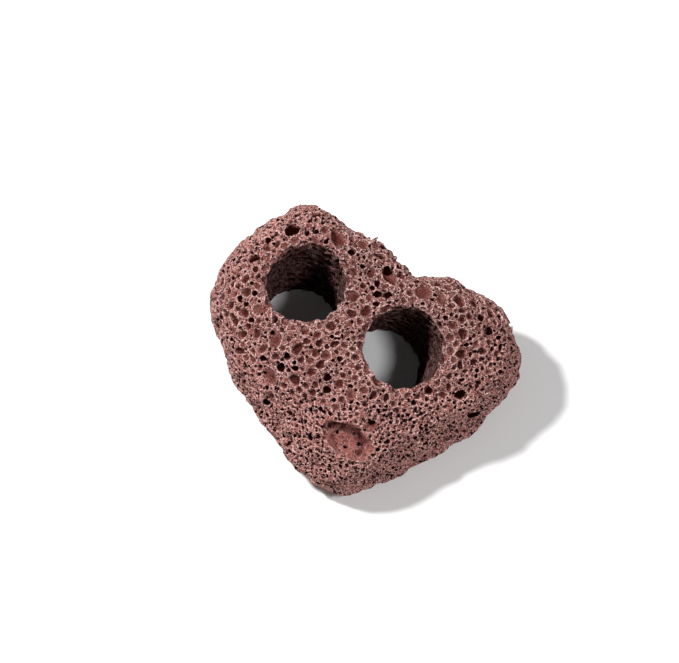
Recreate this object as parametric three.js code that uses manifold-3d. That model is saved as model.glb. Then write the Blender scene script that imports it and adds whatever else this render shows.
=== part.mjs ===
// Aquarium lava rock: one lump of red scoria with two round swim-through holes bored through it.
// Millimetres, +Z up. The rock lies on its back with its broad face up. The origin is on the
// surface that it rests on, under the middle of its bounding box.

import * as THREE from "three";
import * as BufferGeometryUtils from "three/addons/utils/BufferGeometryUtils.js";
import { MeshSurfaceSampler } from "three/addons/math/MeshSurfaceSampler.js";
import { SimplexNoise } from "three/addons/math/SimplexNoise.js";
import Module from "manifold-3d";

// The lump before anything is cut from it.
// Radius of its plan outline every 12 degrees, from +X round through +Y.
const OUTLINE_RADII = [
  50.5, 47.5, 40, 35.5, 25.5, 28.5, 30, 34.5, 36, 46.5,
  49.5, 48.5, 50.5, 50.5, 49.5, 44, 42.5, 40, 39, 38.5,
  41.5, 43.5, 46, 42.5, 39.5, 39, 40.5, 44, 46, 50,
];
const WAIST = { height: 16, slope: 0.18 }; // the widest level, and how it rises to the back
const CROWN = { height: 40.5, slope: 0.18 }; // the broad face, and how it rises to the back
const BELLY_DEPTH = 2.5; // how far the underside would bulge past the flat that it rests on
const FACE_POWER = 2.7; // 2 is an ellipsoid, more is a flatter face with a tighter edge
const BELLY_POWER = 2.7;
const LUMP_DETAIL = 9;

// Broad swells and hollows of the face: place in plan, height and spread.
const SWELLS = [
  { x: -16, y: 33, height: 3, spread: 10 },
  { x: 30, y: 4, height: 3, spread: 13 },
  { x: -28, y: -6, height: 2, spread: 12 },
  { x: 3, y: 17, height: -2, spread: 8 },
  { x: -3, y: -26, height: 2, spread: 10 },
  { x: 16, y: 9, height: 2, spread: 8 },
  { x: 14, y: -21, height: -2, spread: 9 },
];

// Unevenness all over: length of the waves and how far they stand out.
const UNEVEN = [
  { wave: 24, height: 1.7 },
  { wave: 11, height: 0.6 },
];
const FACE_EVENNESS = 0.5; // how much of it is missing in the middle of the face
const UNEVEN_SEED = 7;

// Holes bored through: a point of each one's middle line in its mouth, and one near its far end.
const BORE_DIAMETER = 25;
const BORES = [
  { mouth: [-17, 14, 42], end: [-19.5, 13, 6] },
  { mouth: [14, -7, 40], end: [6, -1, 4] },
];
const BORE_SIDES = 30;
const BORE_OVERRUN = 18; // how far each cutter runs past both ends

// Pits of the broad face, as they are seen from the front: the line of sight comes down at
// SIGHT_ELEVATION, and across and up are measured square to it from the middle of the rock,
// which lies at SIGHT_MIDDLE in the lump's own frame.
const SIGHT_ELEVATION = THREE.MathUtils.degToRad(70);
const SIGHT_MIDDLE = { across: 0.3, up: 6.35 };
const DISHES = [ // shallow: across, up, width, height
  [-7, 35, 5, 7], [8.5, 24, 4.5, 7], [19.5, 18.5, 6, 5], [25.5, 16, 4, 4.5], [-27.5, 4, 4, 6.5],
  [-32.5, 12, 5, 3.5], [-9, 7, 3.5, 3.5], [-4.5, 7.5, 4, 3], [-30, -9, 6, 5], [31, -1.5, 4, 3.5],
  [2.5, -24.5, 4.5, 3.5], [-3.5, -15, 3.2, 6], [-15.5, 33, 5, 3.5], [0.5, 32.5, 3.5, 3.5],
  [5, 33, 3, 3.5], [-11, -2, 3.5, 3], [27, 19.5, 3.5, 3],
];
const DEEP_PITS = [
  [-22, 38, 4, 5], [-17.5, 37, 3.5, 4], [-14.5, 42.5, 3.5, 2.5], [-34.5, 29, 4, 3.5],
  [-30.5, 28.5, 3, 3.5], [6, 29.5, 4, 3], [-3, 30.5, 3, 2.5], [6.5, 16.5, 4, 3], [37, 10, 3, 3],
  [39.5, 5.5, 3, 4.5], [-33, 5, 3, 4], [-28, 10, 2.5, 3], [-14, 4.5, 3, 3], [-6.5, -3, 2.5, 2.5],
  [-23.5, -3, 3, 3], [-25.5, -6.5, 3.5, 3], [-11.5, -9, 3, 3], [-11.5, -13, 3, 3],
  [-30, -16.5, 3.5, 3], [31.5, -15, 4, 4], [35, -20.5, 4, 3], [20.5, -14, 3, 4],
  [25.5, -14.5, 3, 3], [-13.5, -38, 3, 2.5],
];
const DISH_DEPTH = 0.32; // share of the mean width
const PIT_DEPTH = 0.7;

// Scoops: flat hollows that dip under a lip at their upper edge. The first is low on the face.
const FACE_SCOOP = { across: -4, up: -29.3, width: 17, length: 10, thickness: 6, lean: -17, dip: 24 };
const SIDE_SCOOPS = [
  { bearing: -37, height: 17, width: 27, length: 13, thickness: 6, lean: 10, dip: 28 },
  { bearing: 78, height: 26, width: 22, length: 13, thickness: 6, lean: -14, dip: 30 },
  { bearing: 128, height: 16, width: 30, length: 12, thickness: 6, lean: 8, dip: 26 },
  { bearing: 212, height: 16, width: 24, length: 11, thickness: 5, lean: -9, dip: 24 },
];

// Broad hollows of the sides: bearing from +X, height of the middle, width, height, depth.
const SIDE_HOLLOWS = [
  [-66, 10, 11, 7, 2.2], [6, 20, 12, 9, 2.5], [48, 16, 12, 10, 2.5], [104, 33, 9, 8, 2],
  [158, 27, 11, 9, 2.4], [182, 13, 12, 8, 2.6], [246, 17, 10, 7, 2],
];

// Pits of the sides, back and underside: their widths, their other sizes as shares of the width,
// and how much more common the small ones are (1 is evenly spread).
const SCATTER = {
  seed: 21, count: 80, tries: 5, least: 3, most: 7.5, bias: 2.2,
  height: [0.8, 1.1], depth: [0.3, 0.65],
};
const BORE_KEEP_OUT = 10; // no pit within this of a bore's middle line
const FACE_KEEP_OUT = 0.7; // nor where the skin is turned to the line of sight by more than this
const REST_POINT = { x: -4, y: -18, clear: 6 }; // a place on the underside that stays whole

const COARSE = 0; // detail of the cutters
const FINE = 1;
const FINE_FROM = 4.6; // pits at least this wide get a fine cutter
const FLAT_FACE_ALLOWANCE = [1.16, 1.06]; // coarse and fine: flat faces make a ball a little small

const SCORIA = { color: 0x80564f, roughness: 0.95, metalness: 0 };

const OUTSIDE = 200; // well clear of the rock

const SIGHT = new THREE.Vector3(0, Math.cos(SIGHT_ELEVATION), -Math.sin(SIGHT_ELEVATION));
const SIGHT_UP = new THREE.Vector3(0, Math.sin(SIGHT_ELEVATION), Math.cos(SIGHT_ELEVATION));

const wasm = await Module();
wasm.setup();

// Evenly spread numbers from 0 to 1 that are the same on every run.
function seededRandom(seed) {
  let state = seed;
  return () => {
    state = (state + 0x6d2b79f5) | 0;
    let mixed = Math.imul(state ^ (state >>> 15), state | 1);
    mixed ^= mixed + Math.imul(mixed ^ (mixed >>> 7), mixed | 61);
    return ((mixed ^ (mixed >>> 14)) >>> 0) / 2 ** 32;
  };
}

function between([least, most], share) {
  return least + (most - least) * share;
}

function solidFrom(geometry) {
  const plain = geometry.clone();
  plain.deleteAttribute("normal");
  plain.deleteAttribute("uv");
  const merged = BufferGeometryUtils.mergeVertices(plain);
  return new wasm.Manifold(new wasm.Mesh({
    numProp: 3,
    vertProperties: new Float32Array(merged.attributes.position.array),
    triVerts: new Uint32Array(merged.index.array),
  }));
}

function geometryFrom(solid) {
  const mesh = solid.getMesh();
  const geometry = new THREE.BufferGeometry();
  geometry.setAttribute("position", new THREE.BufferAttribute(mesh.vertProperties, 3));
  geometry.setIndex(new THREE.BufferAttribute(mesh.triVerts, 1));
  return geometry;
}

// The lump

function outlineRadius(angle) {
  const count = OUTLINE_RADII.length;
  const place = (angle / (2 * Math.PI) + 1) % 1 * count;
  const start = Math.floor(place);
  const t = place - start;
  const [a, b, c, d] = [-1, 0, 1, 2].map((step) => OUTLINE_RADII[(start + step + count) % count]);
  return b + 0.5 * t * (c - a + t * (2 * a - 5 * b + 4 * c - d + t * (3 * (b - c) + d - a)));
}

function faceHeight(x, y) {
  let height = CROWN.height + CROWN.slope * y;
  for (const swell of SWELLS) {
    const away = Math.hypot(x - swell.x, y - swell.y) / swell.spread;
    height += swell.height * Math.exp(-away * away);
  }
  return height;
}

// A point of the lump's skin, for a direction on the unit sphere.
function lumpPoint(way, noise) {
  const angle = Math.atan2(way.y, way.x);
  const flat = Math.hypot(way.x, way.y);
  const power = way.z > 0 ? FACE_POWER : BELLY_POWER;
  const size = (flat ** power + Math.abs(way.z) ** power) ** (1 / power);
  const reach = outlineRadius(angle) * flat / size;
  const x = reach * Math.cos(angle);
  const y = reach * Math.sin(angle);
  const waist = WAIST.height + WAIST.slope * y;
  const limit = way.z > 0 ? faceHeight(x, y) : -BELLY_DEPTH;
  const z = waist + (limit - waist) * Math.abs(way.z) / size;
  const point = new THREE.Vector3(x, y, z);
  const share = 1 - FACE_EVENNESS * Math.max(0, way.z);
  for (const { wave, height } of UNEVEN) {
    point.addScaledVector(way, share * height * noise.noise3d(x / wave, y / wave, z / wave));
  }
  return point;
}

function lumpGeometry() {
  const noise = new SimplexNoise({ random: seededRandom(UNEVEN_SEED) });
  const geometry = new THREE.IcosahedronGeometry(1, LUMP_DETAIL);
  const position = geometry.attributes.position;
  const way = new THREE.Vector3();
  for (let i = 0; i < position.count; i++) {
    way.fromBufferAttribute(position, i).normalize();
    position.setXYZ(i, ...lumpPoint(way, noise));
  }
  return geometry;
}

// Cutters

function boreCutter({ mouth, end }) {
  const top = new THREE.Vector3(...mouth);
  const bottom = new THREE.Vector3(...end);
  const axis = top.clone().sub(bottom);
  const radius = BORE_DIAMETER / 2;
  const length = axis.length() + 2 * BORE_OVERRUN;
  const geometry = new THREE.CylinderGeometry(radius, radius, length, BORE_SIDES);
  const up = new THREE.Vector3(0, 1, 0);
  geometry.applyQuaternion(new THREE.Quaternion().setFromUnitVectors(up, axis.normalize()));
  geometry.translate(...top.add(bottom).multiplyScalar(0.5));
  return solidFrom(geometry);
}

// A cutter that leaves an opening of the given width and height, and goes in by the given depth.
function hollowCutter({ place, normal, upward }, [width, height, depth], detail, spin = 0) {
  const half = (width + height) / 4;
  const shallow = depth < half;
  const radius = shallow ? (half * half + depth * depth) / (2 * depth) : half;
  const geometry = new THREE.IcosahedronGeometry(radius * FLAT_FACE_ALLOWANCE[detail], detail);
  geometry.rotateZ(spin);
  geometry.scale(width / (2 * half), height / (2 * half), shallow ? 1 : depth / half);
  geometry.applyMatrix4(new THREE.Matrix4().lookAt(normal, new THREE.Vector3(), upward));
  geometry.translate(...place.clone().addScaledVector(normal, shallow ? radius - depth : 0));
  return solidFrom(geometry);
}

function scoopCutter({ place, normal, upward }, { width, length, thickness, lean, dip }) {
  const geometry = new THREE.IcosahedronGeometry(1, FINE);
  geometry.scale(width / 2, length / 2, thickness / 2);
  geometry.rotateX(-THREE.MathUtils.degToRad(dip));
  geometry.rotateZ(THREE.MathUtils.degToRad(lean));
  geometry.applyMatrix4(new THREE.Matrix4().lookAt(normal, new THREE.Vector3(), upward));
  geometry.translate(...place);
  return solidFrom(geometry);
}

// Where a line from outside meets the skin. A cutter set there has its height along upward.
function hitOn(skin, from, way, upward) {
  const [hit] = new THREE.Raycaster(from, way).intersectObject(skin);
  return { place: hit.point, normal: hit.face.normal.clone(), upward };
}

// A place given as it is seen from the front.
function seenPlace(skin, across, up) {
  const from = new THREE.Vector3(across + SIGHT_MIDDLE.across, 0, 0);
  from.addScaledVector(SIGHT_UP, up + SIGHT_MIDDLE.up).addScaledVector(SIGHT, -OUTSIDE);
  return hitOn(skin, from, SIGHT, SIGHT_UP);
}

// A place on the side, given by its bearing and its height.
function sidePlace(skin, bearing, height) {
  const angle = THREE.MathUtils.degToRad(bearing);
  const outward = new THREE.Vector3(Math.cos(angle), Math.sin(angle), 0);
  const from = outward.clone().multiplyScalar(OUTSIDE).setZ(height);
  return hitOn(skin, from, outward.negate(), new THREE.Vector3(0, 0, 1));
}

function distanceToBores(place) {
  const gaps = BORES.map(({ mouth, end }) => {
    const line = new THREE.Line3(new THREE.Vector3(...mouth), new THREE.Vector3(...end));
    const nearest = line.closestPointToPoint(place, true, new THREE.Vector3());
    return nearest.distanceTo(place) - BORE_KEEP_OUT;
  });
  return Math.min(...gaps);
}

function restDistance(place) {
  return place.distanceTo(new THREE.Vector3(REST_POINT.x, REST_POINT.y, 0)) - REST_POINT.clear;
}

function markedPits(skin) {
  const pits = [];
  for (const [list, share] of [[DISHES, DISH_DEPTH], [DEEP_PITS, PIT_DEPTH]]) {
    for (const [across, up, width, height] of list) {
      const wide = (width + height) / 2;
      pits.push({ ...seenPlace(skin, across, up), wide, size: [width, height, share * wide] });
    }
  }
  return pits;
}

// Adds pits one by one. Of a few random places, each takes the one with the most room round it.
function scatteredPits(skin, pits, random) {
  const sampler = new MeshSurfaceSampler(skin).setRandomGenerator(random).build();
  const wanted = pits.length + SCATTER.count;
  while (pits.length < wanted) {
    const wide = between([SCATTER.least, SCATTER.most], random() ** SCATTER.bias);
    let best = { room: -Infinity };
    for (let tries = 0; tries < SCATTER.tries; tries++) {
      const place = new THREE.Vector3();
      const normal = new THREE.Vector3();
      do {
        sampler.sample(place, normal);
      } while (-normal.dot(SIGHT) > FACE_KEEP_OUT);
      const gaps = pits.map((pit) => pit.place.distanceTo(place) - pit.wide / 2);
      const room = Math.min(...gaps, distanceToBores(place), restDistance(place)) - wide / 2;
      if (room > best.room) best = { room, place, normal };
    }
    const height = wide * between(SCATTER.height, random());
    const depth = wide * between(SCATTER.depth, random());
    pits.push({ ...best, upward: new THREE.Vector3(0, 1, 0), wide, size: [wide, height, depth] });
  }
  return pits;
}

function cuttersFor(skin) {
  const random = seededRandom(SCATTER.seed);
  const pits = scatteredPits(skin, markedPits(skin), random);
  const floor = new THREE.BoxGeometry(2 * OUTSIDE, 2 * OUTSIDE, OUTSIDE);
  floor.translate(0, 0, -OUTSIDE / 2);
  return [
    ...BORES.map(boreCutter),
    ...SIDE_HOLLOWS.map(([bearing, height, ...size]) => (
      hollowCutter(sidePlace(skin, bearing, height), size, FINE)
    )),
    scoopCutter(seenPlace(skin, FACE_SCOOP.across, FACE_SCOOP.up), FACE_SCOOP),
    ...SIDE_SCOOPS.map((scoop) => scoopCutter(sidePlace(skin, scoop.bearing, scoop.height), scoop)),
    ...pits.map((pit) => {
      const detail = pit.wide < FINE_FROM ? COARSE : FINE;
      return hollowCutter(pit, pit.size, detail, 2 * Math.PI * random());
    }),
    solidFrom(floor),
  ];
}

// Moved so that the middle of its box is over the origin.
function rockGeometry() {
  const lump = lumpGeometry();
  const cutters = cuttersFor(new THREE.Mesh(lump));
  const geometry = geometryFrom(cutters.reduce((solid, cutter) => solid.subtract(cutter), solidFrom(lump)));
  geometry.computeBoundingBox();
  const middle = geometry.boundingBox.getCenter(new THREE.Vector3());
  return geometry.translate(-middle.x, -middle.y, 0);
}

const rock = new THREE.Mesh(rockGeometry(), new THREE.MeshStandardMaterial(SCORIA));
rock.name = "lava_rock";

const group = new THREE.Group();
group.add(rock);

export default group;
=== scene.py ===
"""Aquarium lava rock: red scoria with two swim-through holes, lying on a plain pale floor.

The rock takes the place of the CAD node. A copy of the node is turned into a block of signed
distances, its facets are softened away, and the bores, scoops, dishes and pores are carved into
the block. The carved block is meshed and coloured by what the carving left: pale crests, and
painted shade on the bottoms of the pores, in sheltered hollows, in the pits and deeper in the bores.
Lengths are metres. The listed places and sizes are given in millimetres and turned to metres.
"""

import math

import bmesh
import bpy
import numpy as np
import openvdb
from bpy.props import FloatProperty, FloatVectorProperty, IntProperty, PointerProperty
from mathutils import Matrix, Vector
from mathutils.bvhtree import BVHTree


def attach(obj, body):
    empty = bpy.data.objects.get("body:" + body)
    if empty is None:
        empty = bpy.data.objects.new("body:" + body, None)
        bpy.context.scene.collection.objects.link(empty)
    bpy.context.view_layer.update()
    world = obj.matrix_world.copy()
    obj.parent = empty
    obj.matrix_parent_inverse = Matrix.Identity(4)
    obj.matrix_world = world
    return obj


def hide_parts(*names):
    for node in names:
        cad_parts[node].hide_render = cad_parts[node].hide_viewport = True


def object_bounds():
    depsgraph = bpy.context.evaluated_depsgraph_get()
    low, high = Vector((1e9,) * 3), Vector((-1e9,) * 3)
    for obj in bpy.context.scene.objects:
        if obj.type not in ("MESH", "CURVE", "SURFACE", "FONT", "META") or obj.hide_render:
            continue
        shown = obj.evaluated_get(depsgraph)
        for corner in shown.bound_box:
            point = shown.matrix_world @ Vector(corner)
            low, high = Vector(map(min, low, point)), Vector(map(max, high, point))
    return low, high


bl_info = {
    "name": "Aquarium lava rock",
    "version": (1, 0, 0),
    "blender": (4, 5, 0),
    "location": "3D View > Sidebar > Lava Rock",
    "description": "Builds a porous lava rock with two swim-through holes, and its studio",
    "category": "Object",
}

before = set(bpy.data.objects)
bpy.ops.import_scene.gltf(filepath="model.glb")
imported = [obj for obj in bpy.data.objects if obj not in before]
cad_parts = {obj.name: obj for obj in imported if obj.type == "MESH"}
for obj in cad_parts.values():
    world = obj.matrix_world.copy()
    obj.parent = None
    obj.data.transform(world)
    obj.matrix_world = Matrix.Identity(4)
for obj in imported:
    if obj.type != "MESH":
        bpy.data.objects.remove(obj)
CAD_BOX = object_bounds()

MM = 0.001
NODE = "lava_rock"
IMAGE = (679, 663)
MIDDLE_PIXEL = (362, 348) # where the photograph shows the middle of the rock

# The line of sight comes down at this angle from the front. Marks on the face are measured in
# millimetres across and up, square to it, from the middle of the rock as it is seen.
SIGHT_ELEVATION = math.radians(70)
SEEN_MIDDLE = (-0.98, 6.77)
SIGHT_WAY = np.array((0, math.cos(SIGHT_ELEVATION), -math.sin(SIGHT_ELEVATION)))
SIGHT_UP = np.array((0, math.sin(SIGHT_ELEVATION), math.cos(SIGHT_ELEVATION)))

# Bored holes: a point of the middle line in the mouth, and one near the far end.
BORE_WIDTH = 25
BORES = (
    {"mouth": (-18.3, 14.4, 42), "end": (-20.8, 13.4, 6), "seen": (-17.1, 21.2)},
    {"mouth": (12.7, -6.6, 40), "end": (4.7, -0.6, 4), "seen": (13.6, 0.6)},
)
BORE_RIPPLE = 0.1 # height of the rings that the drill left
BORE_PITCH = 1.3 # from one ring to the next
BORE_WALL = 2.4 # places this near a bore belong to its wall

# Marks of the face: across, up, width, height and, for some, a turn in degrees. Dishes are shallow
# and keep the colour of the skin apart from painted shade on their bottoms, hollows are deeper, and
# pits are dark: deep, and painted near-black as shade. The depth is a share of the width or the
# height, whichever is less.
DISH_DEPTH = 0.34
HOLLOW_DEPTH = 0.55
PIT_DEPTH = 0.95
MOST_SLANTED = 0.5 # least share of its size that a slanted mark is taken to show
DISHES = (
    (-17, 37.8, 2.6, 2), (-15.2, 33.6, 3.6, 2.6), (-32.5, 12.1, 5, 3.3), (0.4, 32.6, 3.8, 3),
    (4.9, 32.6, 2.4, 2.6), (2.9, 28.5, 2, 2), (-2.5, 26.8, 2.4, 2), (2.9, 23.6, 2.6, 3.4),
    (5.9, 26.8, 2, 2.2), (2.4, 15.9, 2.6, 3), (19.3, 17.9, 6, 5.2), (25, 15.6, 3.4, 5),
    (27, 19.2, 2.6, 2.4), (28.3, 7.2, 3.4, 3), (-27.5, 3.1, 4, 6.4), (-30.9, 7.3, 1.8, 1.6),
    (-34.8, 2.8, 1.2, 1), (-29.2, -9.3, 5, 6), (-11.3, -2.3, 3.6, 3.2), (-16.2, -4, 3.4, 2.2),
    (-4.4, 7.7, 3, 2.6), (-3.5, -5.4, 2.4, 2), (-2.2, -9.2, 2.6, 2.2), (-3.7, -14.7, 3.4, 5.6),
    (9.3, -13.1, 2.6, 2), (33.7, 12.6, 2.2, 1.4), (37.7, 3, 2, 1.6), (39.6, -7.5, 2.2, 2.4),
    (41.6, 6.5, 2.4, 1.8), (-40, 24, 3, 2.6), (-37.5, 26, 3, 2), (-18.5, 31.5, 3, 1.6),
    (-8.5, -18.5, 3.2, 2.6), (11, -19.5, 3, 2.2), (-36.5, -3, 2.2, 2), (29.5, 11.7, 1.6, 1.6),
    (-22, 6.5, 3, 2.4), (-5.5, 1, 2.6, 2.4), (3, -24.7, 4.8, 4.2),
)
HOLLOWS = (
    (-30.2, 28.2, 2.2, 3.2), (-30.3, 31.7, 2.8, 2.6), (-7, 35, 5.2, 6.6),
    (8.7, 22.9, 4.2, 6.4, 15), (12.4, 20.1, 2, 2.4), (14.9, 17.8, 2.2, 2.8), (15.7, 15.3, 2.6, 2),
    (23.1, 11.1, 2.4, 1.8), (-33.1, 4.5, 2.4, 3.6), (-28.8, 7.1, 2, 1.6), (-25, 0, 2, 2.4),
    (-14.1, 4.2, 2.6, 2.8), (-15.6, -13.9, 2.6, 2.4), (-29.3, -14.7, 3, 2.2), (-9.7, 7, 3.2, 3.2),
    (-4.7, -2, 1.8, 1.8), (-2.2, -2.9, 2.8, 2.2), (-1.3, -5.9, 2.4, 2.2), (-6.1, -8.3, 2, 1.8),
    (-5.9, -34, 2.4, 1.6), (31.1, -2, 3.4, 3.4), (25.4, -14.8, 3, 2.6),
    (32.3, -7.3, 2, 1.5), (40, -3.6, 2, 1.4), (-23, 2.9, 2, 2), (6.5, -22.6, 2, 1.4),
    (28.7, -6.2, 1.5, 1.6), (-13.5, -37.4, 3, 1.8),
)
PITS = (
    (-22.3, 37.7, 4.2, 4.3), (8.2, 24.4, 3, 3), (3, -23.7, 2.8, 1.7),
    (-17.1, 35.7, 1.8, 1.4), (-14.5, 36.6, 2, 1.6), (-14.5, 42.4, 3.4, 1.8, -25),
    (-12.5, 39.5, 1, 1.3),
    (-29.5, 33.8, 2, 1.6), (-30.1, 30.9, 1.4, 0.9), (-34.5, 28.6, 3.7, 3.2), (-35.6, 24.1, 1, 0.8),
    (-32.6, 23, 1.4, 2), (-40.3, 21.3, 1, 0.9), (-34.8, 20.5, 1.6, 1.2), (-33.8, 17.3, 1.8, 1.8),
    (-38.6, 15.6, 1.9, 2.2), (-36.6, 13.8, 1.9, 1.5), (-27.6, 9.3, 1.9, 2.4), (-29.9, 9, 1.4, 1.2),
    (-34.9, 8.8, 2.2, 1.7), (-32.4, 14.8, 1.4, 1.2), (-44.7, 13.1, 0.9, 1), (-31.1, 37.4, 1.2, 1),
    (-11.3, 33.4, 1.6, 1.6), (-6.6, 31.6, 1.3, 0.9), (-8.8, 39.3, 1.7, 1), (7.4, 32.4, 2, 2),
    (2.8, 34.8, 1.8, 1.1), (5.9, 29.2, 3.6, 2, -20), (8.7, 29.8, 1.4, 1), (-3.4, 30, 2.3, 1.4),
    (-1.4, 29.5, 1.4, 1.2), (0.7, 28.6, 1.1, 1.4), (0.3, 25.5, 1.7, 1.6), (2.2, 24, 1.2, 0.8),
    (4.8, 20.4, 1.8, 2.6), (2, 20.4, 1.2, 1.2), (-0.6, 21.4, 1.1, 1.1), (3.2, 19, 1.6, 1.8),
    (5, 16.9, 2.4, 2.2), (7.8, 16.6, 2, 2.4), (0, 16.8, 1, 1.2), (4.4, 14.1, 2.4, 1.7),
    (8.3, 14.5, 2, 1.1), (10.6, 15, 1.2, 0.9), (-4.8, 14.1, 1.5, 1.1), (-1.4, 13, 1, 0.9),
    (-6.4, 10.4, 1.3, 0.8), (11.6, 25.7, 1.3, 1.8), (14, 22.9, 0.9, 0.8), (16.4, 23.2, 1, 0.8),
    (29.5, 18.4, 1.1, 1.3), (29.7, 20.6, 1, 1), (17.1, 21.1, 1.8, 1.3), (20.3, 20.9, 1.2, 1),
    (19, 14, 1.6, 1.2), (25.6, 12.2, 1.2, 1), (26.2, 9.6, 1.8, 1.6), (23.1, 14.9, 0.8, 1.4),
    (-30.5, 5, 1.2, 1.2), (-30.6, 3.5, 1.3, 1.1), (-38.3, 6.4, 1.2, 1), (-33.9, 1.4, 1.2, 1.4),
    (-41.2, 2.7, 1.4, 1.2), (-36.8, 2.3, 1, 1), (-36.8, -0.3, 1.6, 1), (-31.1, -3.2, 1.9, 2),
    (-23.5, -2.8, 2.4, 2.4), (-25.6, -6.2, 2.8, 3), (-20.9, -6.3, 2.4, 1.8), (-21.2, -4.5, 1.4, 1.4),
    (-23.3, -7, 1.2, 1.6), (-26.4, -8.3, 1.6, 1), (-19.2, 3.4, 1, 0.9), (-9.4, 3.6, 1.4, 1.4),
    (-16, 0.3, 1.4, 1.4), (-17.2, -2.7, 1.4, 1.1), (-11.1, -9, 2.8, 2.6), (-11.3, -13, 2.8, 2.6),
    (-30.2, -17, 2.4, 2), (-33.4, -14.3, 1, 1), (-13.1, -19.1, 1.6, 1.6), (-16.3, -19.3, 1.5, 1.5),
    (-19.2, -17, 1.6, 1.2), (-9, -16.2, 1.7, 1.5), (-9.7, -7.4, 1.4, 1.2), (-25.1, -19.2, 1.6, 0.9),
    (-6.2, 5.5, 1, 1.6), (-2.6, 4.9, 0.8, 0.8), (-7.3, 3, 1, 0.9), (-2.3, 1.6, 1.1, 1),
    (-11.7, 1.7, 1, 0.9), (-6.8, -3.2, 1.9, 1.9), (-8, -5.3, 1, 1.1), (-6.5, -6.4, 1, 1),
    (-3.7, -11.9, 2, 1.4), (-7.3, -14.3, 1.2, 0.9), (-1.7, -18.9, 1.2, 1.2), (1.3, -9.3, 1, 0.9),
    (6.8, -13.3, 1.5, 1.4), (20.7, -13.6, 3, 3.2), (16.2, -17.2, 1.9, 1.7), (3.7, -18.2, 1.3, 1.2),
    (4.8, -19.2, 1.4, 1.1), (7.1, -19.4, 1.8, 1), (14.4, -21, 1.6, 1), (-5.5, -22.3, 1.8, 1),
    (32.7, 17.4, 1.4, 1.6), (37.2, 9.7, 2.1, 2.1), (38.4, 12.7, 1.8, 1), (39.6, 5.3, 1.7, 3),
    (43.1, 3.4, 2, 1.4), (35, 5.6, 1.3, 1), (31.2, 6.9, 1.1, 0.9), (34, 2.9, 1.6, 1.2),
    (32.7, 1, 1.9, 1.3), (43.5, 0.2, 1.3, 2.6), (41, -0.3, 1.4, 1.8), (35.4, -1.1, 1.4, 1.2),
    (42.7, -3.7, 1, 1.2), (33.4, -4.8, 0.9, 1.6), (26.9, -4.4, 1, 0.9), (36.1, -7.1, 1.6, 1.4),
    (35.7, -8.7, 1.4, 1.4), (29.7, -8.4, 1.4, 1.4), (31.6, -9.9, 1.5, 1.2), (31.2, -14.9, 3.9, 3.4),
    (35.3, -20.6, 4, 2, 30), (-16.4, -27.9, 1.8, 2.6), (-17.2, -30.8, 1, 1), (-6.8, -36.2, 1, 0.8),
    (8, -29.5, 2.4, 1.5), (3.4, -33.8, 1.8, 1.2), (5, -32, 1.6, 1.4), (1.4, -32.2, 1.2, 1),
    (1, -42.4, 1.2, 1), (10, -26.3, 1.6, 1), (18.8, -25.6, 1, 1.6), (13.7, -32.4, 1.2, 0.9),
    (-21.2, -22.6, 1.2, 0.9),
)

# Scoops: flat hollows that dip under a lip. Each has the place of its middle, the bearing and the
# elevation that the skin faces there, its width, length and thickness, and its lean and dip in
# degrees.
FACE_SCOOP = {
    "middle": (-5.7, -34.6, 28.9), "facing": (-93, 59), "size": (19.5, 10.8, 9.4),
    "lean": -32, "dip": 50,
}
SIDE_SCOOPS = (
    {"middle": (32.5, -25, 17), "facing": (-53, 15), "size": (27, 13, 6), "lean": 10, "dip": 28},
    {"middle": (5.4, 31.8, 26), "facing": (48, 0), "size": (22, 13, 6), "lean": -14, "dip": 30},
    {"middle": (-31.5, 39.2, 16), "facing": (134, 0), "size": (30, 12, 6), "lean": 8, "dip": 26},
    {"middle": (-33.6, -19.7, 16), "facing": (-139, 7), "size": (24, 11, 5), "lean": -9, "dip": 24},
)

# Cells: the shallow pores that cover the rest, from the widest to the narrowest. Each kind has its
# openings, its depth as a share of the opening, and how many places are tried. A wall of the given
# thickness is left round each.
CELLS = (
    {"width": (2.8, 4.4), "depth": (0.36, 0.55), "wall": 0.1, "tries": 20000},
    {"width": (2.0, 2.8), "depth": (0.38, 0.6), "wall": 0.1, "tries": 50000},
    {"width": (1.2, 2.0), "depth": (0.4, 0.7), "wall": 0.1, "tries": 100000},
)
# The dark pores are deep, and painted near-black as shade.
DARK_PORES = ({"width": (0.9, 1.5), "depth": (0.9, 1.4), "wall": 0.4, "tries": 30000},)
STRETCH = (0.8, 1.25) # how long pores are for their width
LOBES = ((2, 0.06), (3, 0.08), (5, 0.05)) # waves round a pore's rim, and how high they are
WIDEST = 1.15 # no pore is wider inside than this many times its rim
COARSE_MIDDLE = (0, 12) # seen place that the wide pores lie round
COARSE_REACH = (54, 34) # how far from there the last of them are
FINE_WIDTH = 1.3 # most cells out there are narrower
SCOOP_BARE = 0.97 # share of the pores left out of the smooth scoop
DISH_BARE = 0.9 # share of the dark pores left out of the dishes and hollows
DISH_FROM = 0.4 # depth from which a place counts as in a dish
PIT_FROM = 0.1 # depth from which a place counts as in a pit
UNEVENNESS = {"length": 0.9, "height": 0.2} # of the skin between the pores
ROUGHNESS = {"length": 0.4, "height": 0.03} # all over
SEED = 11

# The hidden parts are those under this height and those deeper in the bores than this. They and
# the sides get these shares of the triangles, and the face has the rest.
UNDERSIDE = 1.5
BORE_FINE = 5
HIDDEN_SHARE = 0.07
SIDES_SHARE = 0.28
FACE_FROM = 0.3 # the face looks at least this much towards the eye
FACE_SPREAD = 1.5 # the rock is softened over this length before that is judged

# Lengths over which the surface is softened to find what lies sheltered and what stands out.
SHELTER_SPREAD = 1.2
CREST_SPREAD = 0.4

# Patterns of the material that are too small to carve, per metre, and the height of its grain.
SMALL_PORES = 560
PINHOLES = 1150
FINEST_HOLES = 2200
WEB_CELLS = 500
WARPS = 900
FLECKS = 2100
SPECKLES = 2600
PATCHES = 45
GRAIN = 0.35

LIT_POINT = (0, 0, 0.02) # what the lights are aimed at
MIDDLE_HEIGHT = 22 # what the camera is aimed at is this high
WORLD_LIGHT = 0.16


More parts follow.
